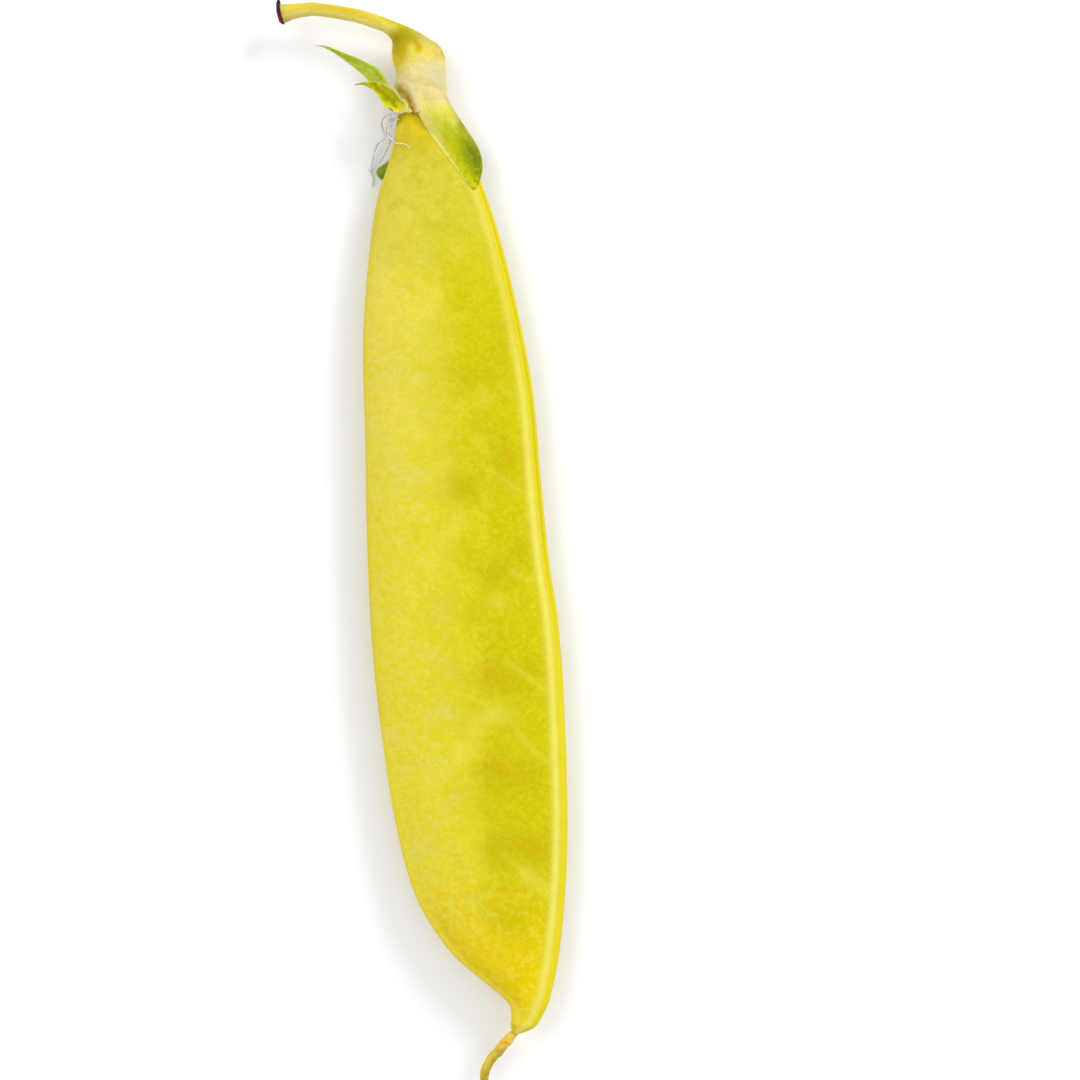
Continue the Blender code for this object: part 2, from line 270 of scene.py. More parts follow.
CORDS = (
    (((3.0, 10.0), (6.3, 7.7)), 0.34, 0.28),
    (((3.8, 18.2), (5.6, 17.2)), 0.34, 0.2),
    (((5.3, -0.1), (7.2, -1.1)), 0.38, 0.32),
    (((4.8, -9.0), (8.6, -12.0)), 0.3, 0.32),
    (((5.8, -16.3), (8.9, -19.2)), 0.3, 0.28),
    (((4.5, -28.2), (6.8, -30.5)), 0.34, 0.26),
    (((6.6, -30.3), (8.8, -31.9)), 0.8, 0.5),
)
PALE_BANDS = (
    (((3.5, -14.0), (1.8, -15.2), (0.6, -17.7), (-1.0, -19.5), (-3.2, -20.2)), 0.9, 0.38),
    (((-8.0, 7.0), (-4.0, 8.0), (-1.2, 10.8)), 0.7, 0.3),
    (((-2.8, 1.0), (-0.2, 5.2)), 1.0, 0.3),
)
print(len(SEEDS), "seed shadows and", len(CORDS), "cords")

# %% Where the pod's wall is
RIB_HEIGHT = 0.14
RIB_HOLLOW = 0.05
GROOVE_DEPTH = 0.12
GROOVE_FROM_SEAM = 0.34
GROOVE_HALF_WIDTH = 0.13
BACK_RIM_HEIGHT = 0.04
SEED_HEIGHT = 0.1
CORD_HEIGHT = 0.03
SLOW_RIPPLE = 0.09
QUICK_RIPPLE = 0.025
FULL_WIDTH = 6.0


@functools.cache
def pod_section(y):
    """The pod's back edge, seam edge, half thickness and middle height at y."""
    size = closing(y - TIP_Y, TIP_REACH) * closing(STALK_Y - y, STALK_REACH)
    back, seam = smooth(BACK_EDGE, y), smooth(SEAM_EDGE, y)
    lost = (seam - back) * (1 - size)
    share = BACK_SHARE if y < 0 else 0.5
    towards_tip = max(LIFT_FROM_Y - y, 0.0) / (LIFT_FROM_Y - TIP_Y)
    middle_z = MIDDLE_Z + TIP_LIFT * towards_tip**2
    return back + share * lost, seam - (1 - share) * lost, smooth(HALF_THICKNESS, y) * size, middle_z


def wall_height(x, y, section):
    """How far the pod's wall stands off its middle plane at x, y."""
    back, seam, thick, _ = section
    width = max(seam - back, 1e-6)
    across = min(max((x - back) / width, 0.0), 1.0)
    lens = (4 * across * (1 - across)) ** FULLNESS
    full = min(width / FULL_WIDTH, 1.0)
    from_seam, from_back = seam - x, x - back
    rib = RIB_HEIGHT * bell((from_seam - 1.1 * full) / (0.48 * full))
    rib = (rib - RIB_HOLLOW * bell((from_seam - 2.0 * full) / 0.4)) * (1 - 0.4 * fade(y, 8.0, 30.0))
    towards_stalk = fade(y, -14.0, 6.0)
    groove = -GROOVE_DEPTH * towards_stalk * bell((from_seam - GROOVE_FROM_SEAM * full) / GROOVE_HALF_WIDTH)
    back_rim = BACK_RIM_HEIGHT * bell((from_back - 0.5 * full) / 0.3)
    seeds = sum(share * spot(x, y, *seed) for *seed, share in SEEDS if abs(y - seed[1]) < 3 * seed[3])
    cords = sum(deep * line(x, y, points, wide) for points, wide, deep in CORDS if abs(y - points[0][1]) < 5)
    slow = SLOW_RIPPLE * noise.noise(Vector((x / 5.0, y / 6.5, 1.7)))
    quick = QUICK_RIPPLE * noise.noise(Vector((x / 1.3, y / 1.6, 5.1)))
    relief = SEED_HEIGHT * seeds + CORD_HEIGHT * cords + slow + quick
    return thick * lens + (full * (rib + groove + back_rim) + relief) * min(4 * lens, 1.0)


middle_section = pod_section(0.0)
print("half way along, the pod is", [round(c, 2) for c in middle_section], "mm: back, seam, half thickness, height")


# %% Shape the pod
POD_SIDES = 176
POD_RINGS = 520


def pod_shape(share, angle):
    """The point of the pod's skin at a share of its length and an angle around it."""
    y = (STALK_Y + TIP_Y) / 2 + (STALK_Y - TIP_Y) / 2 * math.cos(math.pi * share)
    section = pod_section(y)
    back, seam, _, middle_z = section
    across = (1 - math.cos(angle)) / 2
    x = back + (seam - back) * across
    height = wall_height(x, y, section) if abs(math.sin(angle)) > 1e-4 else 0.0
    z = middle_z + math.copysign(height, math.sin(angle))
    values = {"from_seam": seam - x, "from_back": x - back, "across": across}
    return Vector((x, y, max(z, 0.0))), values


pod = drawn_out("pea_pod", POD_SIDES, POD_RINGS, pod_shape)
keep(pod, "pod_skin", "pod")

# %% [markdown]
# ## Writing a material as a sum
#
# The skin's colour depends on many things at once: how far a spot is from a seam, whether a seed lies under it, and
# soft blotches that follow nothing. That is easiest to read as sums of numbers. `Number` wraps a socket, so that
# adding or multiplying two of them adds the Math node that does it.


# %% Shader numbers
class Number:
    """A number in a material: a sum of Numbers adds the Math nodes that work it out."""

    def __init__(self, skin, socket):
        self.skin = skin
        self.socket = socket

    def math(self, operation, *others, clamp=False):
        settings = {"operation": operation, "use_clamp": clamp}
        made = self.skin.node("Math", settings, dict(enumerate((self, *others))))
        return Number(self.skin, made.outputs[0])

    def __add__(self, other):
        return self.math("ADD", other)

    __radd__ = __add__

    def __mul__(self, other):
        return self.math("MULTIPLY", other)

    __rmul__ = __mul__

    def __sub__(self, other):
        return self.math("SUBTRACT", other)

    def __rsub__(self, other):
        return (self * -1) + other

    def __truediv__(self, other):
        return self.math("DIVIDE", other)

    def bump(self, centre, width):
        """A soft bump, 1 where the number is at centre and nearly 0 two widths away."""
        away = (self - centre) / width
        return soft(away * away)

    def fade(self, low, high):
        """0 at low, 1 at high and a soft step between; low may be the higher one."""
        settings = {"interpolation_type": "SMOOTHSTEP"}
        sockets = {"Value": self, "From Min": min(low, high), "From Max": max(low, high)}
        made = Number(self.skin, self.skin.node("MapRange", settings, sockets).outputs[0])
        return 1 - made if low > high else made


# %% [markdown]
# ## One material at a time
#
# `Skin` holds one material's nodes. A colour is given the way a painter would pick it, as it should look in the end,
# so `linear` takes the strength of this scene's light out of it. Every skin is a ground colour with other colours
# laid over it, one after another, each in its own share, and ends with a slight relief.


# %% Skins
LIGHT_LEVEL = 1.24


def linear(colour):
    """A colour as it looks on a screen, 0 to 255, turned into what a surface must be to look so in this light."""
    shares = [c / 255 for c in colour]
    return [((s + 0.055) / 1.055) ** 2.4 / LIGHT_LEVEL if s > 0.04 else s / 12.92 for s in shares] + [1.0]


class Skin:
    """One material, built a node at a time."""

    def __init__(self, name):
        self.material = bpy.data.materials.new(name)
        self.material.use_nodes = True
        self.nodes = self.material.node_tree.nodes
        self.links = self.material.node_tree.links
        self.shader = self.nodes["Principled BSDF"]
        self.object_place = self.node("TexCoord", {}, {}).outputs["Object"]

    def node(self, kind, settings, sockets):
        """Adds a shader node: its settings first, then a value or a link for each socket."""
        made = self.nodes.new("ShaderNode" + kind)
        for key, value in settings.items():
            setattr(made, key, value)
        for key, value in sockets.items():
            self.feed(made.inputs[key], value)
        return made

    def feed(self, socket, value):
        """Links a Number or a socket, or sets a plain value."""
        if isinstance(value, Number):
            value = value.socket
        if isinstance(value, bpy.types.NodeSocket):
            self.links.new(value, socket)
        else:
            socket.default_value = value

    def value(self, name):
        """A value that the piece's own mesh carries."""
        return Number(self, self.node("Attribute", {"attribute_name": name}, {}).outputs["Fac"])

    def vector(self, operation, *sockets):
        """A Vector Math node's result."""
        values = dict(enumerate(sockets)) if operation != "SCALE" else {0: sockets[0], "Scale": sockets[1]}
        return self.node("VectorMath", {"operation": operation}, values).outputs[0]

    def place(self, wander_mm=0.0, size_mm=1.0):
        """x, y and z as the tables give them, pushed about a little so that a mark's edge wanders."""
        at = self.vector("SUBTRACT", self.object_place, DRAWING_TO_FRAME)
        at = self.vector("SCALE", at, 1 / MM)
        if wander_mm:
            sockets = {"Vector": at, "Scale": 1 / size_mm, "Detail": 3.0}
            push = self.node("TexNoise", {}, sockets).outputs["Color"]
            push = self.vector("SUBTRACT", push, (0.5, 0.5, 0.5))
            at = self.vector("ADD", at, self.vector("SCALE", push, 2 * wander_mm))
        return [Number(self, part) for part in self.node("SeparateXYZ", {}, {0: at}).outputs]

    def speckle(self, size_mm, detail=2.0, stretch=(1, 1, 1)):
        """Noise from 0 to 1 with blobs of about this size, drawn out along the axes by stretch."""
        scale = [1 / s for s in stretch]
        place = self.node("Mapping", {}, {"Vector": self.object_place, "Scale": scale}).outputs[0]
        sockets = {"Vector": place, "Scale": 1 / (size_mm * MM), "Detail": detail}
        return Number(self, self.node("TexNoise", {}, sockets).outputs["Fac"])

    def mix(self, first, second, share):
        """One colour turning into another; colours are given as 0 to 255."""
        first, second = (linear(c) if isinstance(c, tuple) else c for c in (first, second))
        return self.node("Mix", {"data_type": "RGBA"}, {0: share, 6: first, 7: second}).outputs[2]

    def laid_over(self, colour, *layers):
        """The colour with others laid over it, one after another: each layer has a tint and a share."""
        for tint, share in layers:
            colour = self.mix(colour, tint, share)
        return colour

    def marked(self, colour, x, y, marks):
        """The colour with soft marks over it: each has a tint, a share, and a spot's or a line's measures."""
        for tint, share, *measures in marks:
            mark = spot(x, y, *measures) if len(measures) == 4 else line(x, y, *measures)
            colour = self.mix(colour, tint, mark * share)
        return colour

    def shade(self, colour, amount):
        """The colour made lighter or darker: multiplied by amount."""
        return self.vector("SCALE", colour, amount)

    def finish(self, piece, colour, roughness, relief, relief_mm, shine=0.05):
        """Feeds the shader, adds the relief as a bump and puts the material on the piece."""
        self.feed(self.shader.inputs["Base Color"], colour)
        self.feed(self.shader.inputs["Roughness"], roughness)
        self.feed(self.shader.inputs["Specular IOR Level"], shine)
        sockets = {"Height": relief, "Distance": relief_mm * MM, "Strength": 1.0}
        self.feed(self.shader.inputs["Normal"], self.node("Bump", {}, sockets).outputs[0])
        piece.data.materials.clear()
        piece.data.materials.append(self.material)
        print(piece.name, "has the material", self.material.name, "with", len(self.nodes), "nodes")


# %% [markdown]
# ## The pod's ground colour
#
# The skin is a waxy lemon yellow. It is palest beside the back seam, where the two walls are empty and let light
# through, and turns to a deeper, greener yellow over the seeds. Towards the tip the yellow turns golden, and on the
# neck first dull and then orange, an orange set extra bright as painted light where the cup shades the neck.
# `across` and the distances from the seams are values that the mesh carries, so the colours follow the pod's outline.

# %% Colour the pod's ground
skin = Skin("pod_skin")
from_seam, from_back = skin.value("from_seam"), skin.value("from_back")
across = skin.value("across")
x, y, _ = skin.place(0.5, 2.4)
_, lengthways, _ = skin.place()
cloud = skin.speckle(4.5, 4.0)
small_cloud = skin.speckle(1.4, 3.0)
net = skin.speckle(0.6, 4.0)
grain = skin.speckle(0.2)
wander = (cloud - 0.5) * 1.0 + (small_cloud - 0.5) * 0.3

colour = skin.laid_over(
    skin.mix((240, 222, 84), (231, 216, 62), (across + wander).fade(0.08, 0.38)),
    ((235, 219, 10), lengthways.fade(24.0, 0.0) * 0.5),
    ((210, 200, 2), (across + wander).fade(0.26, 0.7)),
    ((242, 229, 114), cloud.fade(0.5, 0.7) * across.fade(0.62, 0.3) * 0.5),
    ((238, 209, 4), (lengthways + (cloud - 0.5) * 8).fade(-29.0, -42.0) * 0.9),
    ((215, 203, 62), (lengthways + (cloud - 0.5) * 9).fade(26.0, 39.0) * 0.7),
    # the neck's own orange, set extra bright: painted light where the cup shades the neck
    ((252, 218, 4), (lengthways + (cloud - 0.5) * 4).fade(41.0, 45.5) * 0.85),
)
print("the ground colour takes", len(skin.nodes), "nodes")

# %% [markdown]
# ## The pod's mottling and what shows through its wall
#
# A pod's cells lie in a fine net, with darker and paler meshes. The net is strongest along the middle, and the neck
# and the tip have softer blotches of their own. Then come the seeds' shadows, broken up by the net so that they don't
# look painted, and last the pale spots, the cords and the pale bands.

# %% Colour the net, the seeds and the cords
off_the_ends = lengthways.fade(-40.0, -30.0) * lengthways.fade(37.0, 28.0)
on_neck, near_neck = lengthways.fade(30.0, 38.0), lengthways.fade(28.0, 38.0)
on_tip = lengthways.fade(-28.0, -36.0)
for tint, meshes, where, share in (
    ((229, 211, 26), net.fade(0.48, 0.64), across.fade(0.85, 0.35) * off_the_ends, 0.45),
    ((239, 226, 108), net.fade(0.48, 0.36), across.fade(0.62, 0.25) * off_the_ends, 0.4),
    ((200, 188, 0), net.fade(0.49, 0.64), across.fade(0.4, 0.6) * off_the_ends, 0.5),
    ((224, 212, 26), net.fade(0.48, 0.34), across.fade(0.4, 0.6) * off_the_ends, 0.45),
    ((234, 222, 100), net.fade(0.5, 0.34), on_neck, 0.25),
    ((196, 180, 8), small_cloud.fade(0.46, 0.66), near_neck, 0.4),
    ((240, 226, 80), net.fade(0.48, 0.34), on_tip, 0.4),
    ((222, 190, 0), net.fade(0.5, 0.66), on_tip, 0.35),
):
    colour = skin.mix(colour, tint, meshes * where * share)

colour = skin.mix(colour, (206, 184, 4), spot(x, y, *NECK_SHADE) * 0.6)
shadow = sum(share * spot(x, y, *seed) for *seed, share in SEEDS)
shadow = shadow * (0.45 + 0.8 * small_cloud + 0.4 * net)
colour = skin.mix(colour, (196, 178, 0), shadow.math("MINIMUM", 0.9))
paler = sum(share * spot(x, y, *place) for *place, share in PALE_SPOTS)
paler = paler + sum(share * line(x, y, *cord) for *cord, share in CORDS) * 0.75
paler = paler + sum(share * line(x, y, *band) for *band, share in PALE_BANDS)
colour = skin.mix(colour, (236, 225, 84), (paler * (0.7 + 0.6 * net)).math("MINIMUM", 0.8))
print("with the net, the seeds and the cords it takes", len(skin.nodes))

# %% [markdown]
# ## The pod's seams
#
# The rib is the brightest band, its own pale tissue with a painted highlight on it, and pales towards the tip.
# Outside it runs a thin ochre line, where the groove is. The back seam has a darker hem. A light grain ends the skin.
# The colour is painted lighter where the neck stands in the cup's shade, and along the lower half of the back:
# painted light against the shade that falls there.

# %% Colour the seams and finish the pod
# the rib's own pale tissue, with a painted highlight on it
rib = from_seam.bump(1.12, 0.46) * (0.95 + 0.4 * (small_cloud - 0.5)) * (0.5 + 0.5 * lengthways.fade(30.0, 6.0))
groove = from_seam.bump(GROOVE_FROM_SEAM, GROOVE_HALF_WIDTH) * lengthways.fade(-14.0, 6.0)
colour = skin.laid_over(
    colour,
    ((237, 227, 98), rib),
    ((233, 214, 34), from_seam.fade(0.76, 0.5) * 0.85),
    ((207, 187, 4), groove * 0.8),
    ((222, 208, 50), from_seam.fade(0.22, 0.1) * 0.8),
    # painted light along the back edge towards the tip
    ((243, 228, 96), from_back.bump(0.62, 0.3) * lengthways.fade(-30.0, -40.0) * 0.5),
    ((232, 206, 60), from_back.bump(0.14, 0.14) * 0.7),
    ((140, 126, 0), spot(x, y, 5.35, -45.7, 0.3, 0.45) * 0.35),
    ((238, 224, 112), grain.fade(0.52, 0.72) * from_seam.fade(0.8, 1.6) * 0.1),
)
# lighter is painted light: on the neck in the cup's shade and on the back edge in the lower half
lighter = lengthways.fade(43.0, 45.3) * 0.14 + from_back.fade(1.6, 0.2) * lengthways.fade(-12.0, -20.0) * 0.07
colour = skin.shade(colour, 0.9 + (grain * 0.17 + small_cloud * 0.05) + lighter)
relief = grain * 0.4 + net * 0.5 + small_cloud
skin.finish(pod, colour, 0.5 + small_cloud * 0.16, relief, 0.05)

# %% [markdown]
# ## The calyx cup
#
# The calyx is the green cup that held the flower. Its lower half is a short bent tube, thick where the stem enters
# and thin as paper at the lip, where the pod's neck comes out. The table gives the tube's two edges as seen from
# above and half its height. The tube is drawn up the outside, over the lip and down the inside. A pale fold and a
# crack run up from the lip, which is drawn out into a tongue between the sepals; the crack's brown is painted shade.
# The tube is thinner where the broad sepal grows out of it, so that the sepal takes over without a step.

# %% Cup tables: one edge, the other edge and half the height; and the cup's folds and cracks
CUP = (
    (-8.9, 54.5, -8.5, 55.4, 0.4), (-8.45, 54.2, -7.85, 55.36, 0.64), (-7.75, 53.85, -7.0, 55.02, 0.76),
    (-7.2, 53.45, -6.2, 54.72, 0.88), (-6.88, 53.05, -5.4, 54.4, 1.02), (-6.78, 52.6, -4.6, 54.06, 1.25),
    (-6.8, 52.1, -3.75, 53.58, 1.6), (-6.8, 51.6, -2.95, 53.05, 1.95), (-6.68, 51.0, -2.15, 52.45, 2.2),
    (-6.5, 50.4, -1.65, 51.75, 2.32), (-6.4, 49.8, -1.47, 50.85, 2.37), (-6.42, 49.2, -1.4, 49.85, 2.38),
    (-6.5, 48.6, -1.33, 48.9, 2.39), (-6.55, 47.9, -1.25, 47.9, 2.39), (-6.5, 47.0, -1.22, 47.1, 2.36),
    (-6.35, 46.05, -1.25, 46.3, 2.3),
)
CUP_MIDDLE_Z = 2.62
CUP_MIDDLE_FROM_STEM = 0.26
FOLD = ((-6.2, 48.75), (-5.2, 48.25), (-4.65, 47.1), (-4.2, 45.9))
CRACK = ((-6.45, 48.1), (-5.75, 47.75), (-5.15, 46.95), (-4.8, 46.1), (-4.65, 45.5))
ARCS = (((-4.1, 48.95), (-2.9, 48.7), (-2.1, 47.9)), ((-4.0, 48.4), (-3.0, 48.0), (-2.2, 47.3)))
STREAK = ((-4.85, 53.15), (-4.5, 52.8), (-4.05, 51.9))
SHOULDER = ((-2.25, 52.6), (-1.72, 51.95), (-1.6, 51.2))
print("the cup's lip is", round(CUP[-1][2] - CUP[-1][0], 2), "mm wide and", 2 * CUP[-1][4], "mm high")

# %% Shape the calyx cup
OVER_THE_LIP = 0.7
INSIDE_DEPTH = 1.2
WALL_SHARE = 0.1
SEPAL_ANGLE = 0.9
SEPAL_COUNT = 5
TONGUE_ANGLE = 1.85
TONGUE_LENGTH = 0.75


def cup_shape(share, angle):
    """The point of the cup's skin: up the outside as far as the lip, then down the inside."""
    outside = 1 - fade(share, OVER_THE_LIP, OVER_THE_LIP + 0.04)
    past_the_lip = (share - OVER_THE_LIP) * INSIDE_DEPTH
    on_tube = share / OVER_THE_LIP if share < OVER_THE_LIP else 1 - past_the_lip
    left, right = (Vector((along(CUP, on_tube, k), along(CUP, on_tube, k + 1), 0)) for k in (0, 2))
    size = closing(share, 0.012) * (1 - WALL_SHARE * (1 - outside)) * closing(1 - share, 0.06)
    lip = 1 - 0.05 * fade(on_tube, 0.93, 1.0)
    under_sepal = 1 - 0.07 * fade(on_tube, 0.8, 0.95) * bell((angle - SEPAL_ANGLE) / 0.9)
    ridges = 1 + 0.02 * math.cos(SEPAL_COUNT * (angle - 0.5)) * fade(on_tube, 0.3, 0.6)
    size *= lip * under_sepal * ridges
    middle_z = CUP_MIDDLE_Z + CUP_MIDDLE_FROM_STEM * (1 - fade(on_tube, 0.0, 0.4))
    side = (right - left) / 2 * size
    up = Vector((0, 0, along(CUP, on_tube, 4) * size))
    place = (left + right) / 2 + Vector((0, 0, middle_z)) + side * math.cos(angle) + up * math.sin(angle)
    outward = (side.normalized() * math.cos(angle) + Vector((0, 0, math.sin(angle)))).normalized()
    tongue_half_angle = 0.35 if angle > TONGUE_ANGLE else 0.65
    place.y -= TONGUE_LENGTH * fade(on_tube, 0.85, 1.0) * bell((angle - TONGUE_ANGLE) / tongue_half_angle)
    marks = 0.1 * line(place.x, place.y, FOLD, 0.28) - 0.13 * line(place.x, place.y, CRACK, 0.24)
    marks += 0.03 * line(place.x, place.y, ARCS[0], 0.25) - 0.03 * line(place.x, place.y, ARCS[1], 0.25)
    marks -= 0.04 * line(place.x, place.y, STREAK, 0.3)
    crumple = 0.09 * noise.noise(place * 0.8) + 0.05 * noise.noise(place * 2.0)
    place += outward * (marks * fade(place.z, 2.9, 4.0) + crumple * fade(on_tube, 0.2, 0.5)) * outside
    return place, {"lengthways": on_tube, "inside": 1 - outside, "on_top": fade(place.z, 2.9, 4.0)}


cup = drawn_out("calyx_tube", 112, 150, cup_shape)
keep(cup, "calyx_skin", "calyx_cup")

# %% [markdown]
# ## The cup's colours
#
# Where the stem enters, the cup is olive. Below that it is golden, then cream, and whitish where its wall is
# thinnest. Its stains are soft spots and lines of their own tint, one spot darker also as painted shade, laid over
# one another in the order of the table: tint, share, then a spot's x, y, half width and half length, or a line's
# points and half width. Near the stem, the side of the cup towards the lamp is darkened as painted shade.

# %% Colour the calyx cup
CUP_STAINS_AND_SHADE = (
    ((250, 236, 120), 0.8, ((-8.7, 54.4), (-7.4, 54.05), (-6.6, 53.8)), 0.5),
    ((190, 178, 36), 0.7, ((-8.6, 55.35), (-7.4, 55.15), (-5.2, 54.25)), 0.3),
    ((180, 167, 8), 0.9, -5.1, 53.0, 1.1, 0.85),
    ((178, 165, 4), 0.9, -5.6, 53.55, 1.0, 0.75),
    ((182, 164, 4), 0.95, -6.15, 52.8, 0.85, 1.0),
    ((200, 168, 0), 0.85, -6.0, 51.7, 0.8, 0.8),
    ((232, 202, 24), 0.85, -5.9, 50.9, 0.6, 0.7),
    ((230, 194, 40), 0.7, -6.3, 50.1, 0.5, 1.0),
    ((244, 226, 92), 0.6, ((-4.8, 51.8), (-4.9, 51.1), (-5.2, 50.4)), 0.4),
    ((248, 232, 146), 0.6, -5.0, 49.6, 0.8, 0.8),
    # darker also as painted shade, where the cup faces the lamp
    ((190, 182, 80), 0.95, -4.0, 53.3, 0.8, 0.5),
    ((206, 194, 112), 0.85, -2.9, 52.75, 1.0, 0.6),
    ((212, 194, 76), 0.75, -2.1, 51.5, 0.6, 0.9),
    ((236, 214, 66), 0.65, -3.2, 51.55, 1.0, 0.35),
    ((198, 170, 0), 0.9, STREAK, 0.28),
    ((222, 184, 0), 0.8, -4.05, 51.9, 0.28, 0.34),
    ((212, 188, 0), 0.7, -5.65, 51.8, 0.45, 0.9),
    ((206, 178, 8), 0.9, SHOULDER, 0.24),
    ((214, 207, 156), 0.85, -2.1, 48.8, 1.2, 2.0),
)
skin = Skin("calyx_skin")
on_tube = skin.value("lengthways")
x, y, _ = skin.place(0.25, 0.9)
cloud = skin.speckle(2.2, 3.0)
small_cloud = skin.speckle(0.6, 3.0)
grain = skin.speckle(0.2)
on_top = skin.value("on_top")
colour = skin.mix((228, 210, 54), (240, 219, 76), (on_tube + (cloud - 0.5) * 0.3).fade(0.25, 0.45))
colour = skin.mix(colour, (232, 218, 148), (on_tube + (cloud - 0.5) * 0.2).fade(0.58, 0.74))
colour = skin.marked(colour, x, y, CUP_STAINS_AND_SHADE)
colour = skin.laid_over(
    colour,
    ((229, 206, 152), line(x, y, FOLD, 0.34) * on_top * 0.75),
    ((220, 190, 96), line(x, y, ARCS[0], 0.2) * 0.5),
    ((222, 194, 104), line(x, y, ARCS[1], 0.16) * 0.35),
    # the crack's brown is painted shade in the crack under the sepal's fold
    ((194, 144, 0), line(x, y, CRACK, 0.3) * on_top),
    ((222, 180, 60), small_cloud.fade(0.6, 0.75) * 0.3),
    ((196, 164, 50), skin.value("inside") * 0.7),
    ((240, 230, 168), small_cloud.fade(0.48, 0.34) * on_tube.fade(0.5, 0.62) * 0.4),
)
# painted shade: near the stem, the side of the cup towards the lamp is darkened
cup_painted_shade = 1 - y.fade(50.8, 52.4) * on_tube.fade(0.1, 0.35) * 0.13
colour = skin.shade(colour, (0.82 + (grain * 0.26 + small_cloud * 0.1)) * cup_painted_shade)
skin.finish(cup, colour, 0.42 + small_cloud * 0.2, grain * 0.4 + small_cloud, 0.06)

# %% [markdown]
# ## The sepals
#
# Five sepals spring from the calyx's lip. A broad pair lies over the pod's shoulders, one on top and one beneath. A
# short pair has curled back on one side, and the long middle one points away from the pod. Each is a thin blade
# between two edges, so its table gives both edges at a few stations, and how far the blade bows out between them.
# A sheet this thin is drawn out of a ball as well: the ball is flattened until only its rim shows two sides.

# %% Sepal tables: each station has a point on one edge, a point on the other edge and the bow
SEPALS = {
    "sepal_upper_front": (
        (-5.0, 48.7, 4.55, -1.4, 47.6, 2.6, 0.9), (-4.8, 47.7, 4.78, -1.2, 47.1, 2.6, 1.12),
        (-4.5, 46.7, 4.84, -0.95, 46.6, 2.55, 1.15), (-4.2, 45.6, 4.75, -0.45, 45.8, 2.5, 1.05),
        (-3.1, 43.65, 4.0, 0.75, 44.0, 2.6, 0.8), (-1.55, 41.5, 3.9, 1.8, 42.3, 2.65, 0.6),
        (-0.1, 39.65, 3.8, 2.25, 40.5, 2.9, 0.35), (0.85, 38.4, 3.6, 2.05, 39.05, 3.1, 0.15),
        (1.4, 37.9, 3.4, 1.5, 37.9, 3.35, 0.0),
    ),
    "sepal_side_front": (
        (-4.9, 46.6, 4.5, -6.0, 46.5, 3.85, 0.1), (-4.8, 45.65, 4.9, -5.85, 45.45, 4.35, 0.05),
        (-5.15, 46.3, 5.2, -6.2, 45.55, 4.7, -0.1), (-5.75, 47.1, 5.25, -6.85, 45.95, 4.65, -0.2),
        (-6.95, 48.05, 5.05, -7.65, 46.6, 4.55, -0.2), (-8.3, 48.5, 4.8, -8.5, 47.65, 4.45, -0.1),
        (-9.5, 48.53, 4.5, -9.55, 48.26, 4.4, 0.0), (-10.45, 48.32, 4.35, -10.45, 48.25, 4.3, 0.0),
    ),
    "sepal_middle": (
        (-6.3, 46.35, 3.55, -6.4, 46.3, 1.95, 0.05), (-6.75, 46.2, 3.35, -6.85, 46.0, 2.15, 0.1),
        (-7.05, 46.9, 3.6, -7.5, 46.6, 2.6, 0.2), (-7.05, 48.2, 3.9, -8.1, 47.6, 3.0, 0.25),
        (-7.8, 49.7, 4.0, -8.9, 48.65, 3.3, 0.2), (-9.15, 50.52, 4.0, -10.1, 49.75, 3.55, 0.15),
        (-11.35, 51.45, 3.95, -11.8, 51.05, 3.7, 0.1), (-13.3, 52.22, 3.85, -13.4, 52.03, 3.77, 0.03),
        (-14.5, 52.34, 3.8, -14.5, 52.27, 3.77, 0.0),
    ),
    "sepal_side_back": (
        (-5.5, 46.8, 1.2, -3.7, 46.8, 0.5, -0.22), (-5.7, 45.6, 0.8, -3.8, 45.6, 0.35, -0.15),
        (-6.0, 44.3, 0.7, -3.9, 44.3, 0.4, -0.05), (-6.4, 42.8, 0.6, -4.5, 42.6, 0.35, 0.0),
        (-7.1, 41.4, 0.5, -5.4, 40.9, 0.35, 0.0), (-8.35, 40.5, 0.45, -6.8, 39.4, 0.35, 0.0),
        (-8.5, 39.9, 0.45, -8.15, 39.3, 0.4, 0.0),
    ),
    "sepal_upper_back": (
        (-3.55, 46.8, 0.55, -1.5, 46.8, 2.1, -0.56), (-3.3, 45.6, 0.35, -0.8, 45.6, 2.2, -0.65),
        (-2.4, 43.9, 0.35, 0.3, 44.0, 1.9, -0.6), (-1.2, 42.0, 0.4, 1.2, 42.3, 1.8, -0.4),
        (0.0, 40.4, 0.5, 1.7, 40.8, 1.6, -0.25), (0.8, 39.3, 0.7, 1.6, 39.5, 1.2, -0.1),
        (1.2, 38.8, 1.0, 1.3, 38.8, 1.1, 0.0),
    ),
}
print(len(SEPALS), "sepals, with", sum(len(rows) for rows in SEPALS.values()), "stations in all")

# %% Shape a blade
POD_CLEARANCE = 0.015
FLOOR_CLEARANCE = 0.03


def off_the_pod(place, room):
    """The same place, moved up or down until it has this much room from the pod and from the surface below."""
    section = pod_section(place.y)
    height = wall_height(place.x, place.y, section) if section[0] < place.x < section[1] else 0.0
    if height > 0:
        if place.z >= section[3]:
            place.z = max(place.z, section[3] + height + room)
        else:
            place.z = min(place.z, section[3] - height - room)
    return Vector((place.x, place.y, max(place.z, room - POD_CLEARANCE + FLOOR_CLEARANCE)))


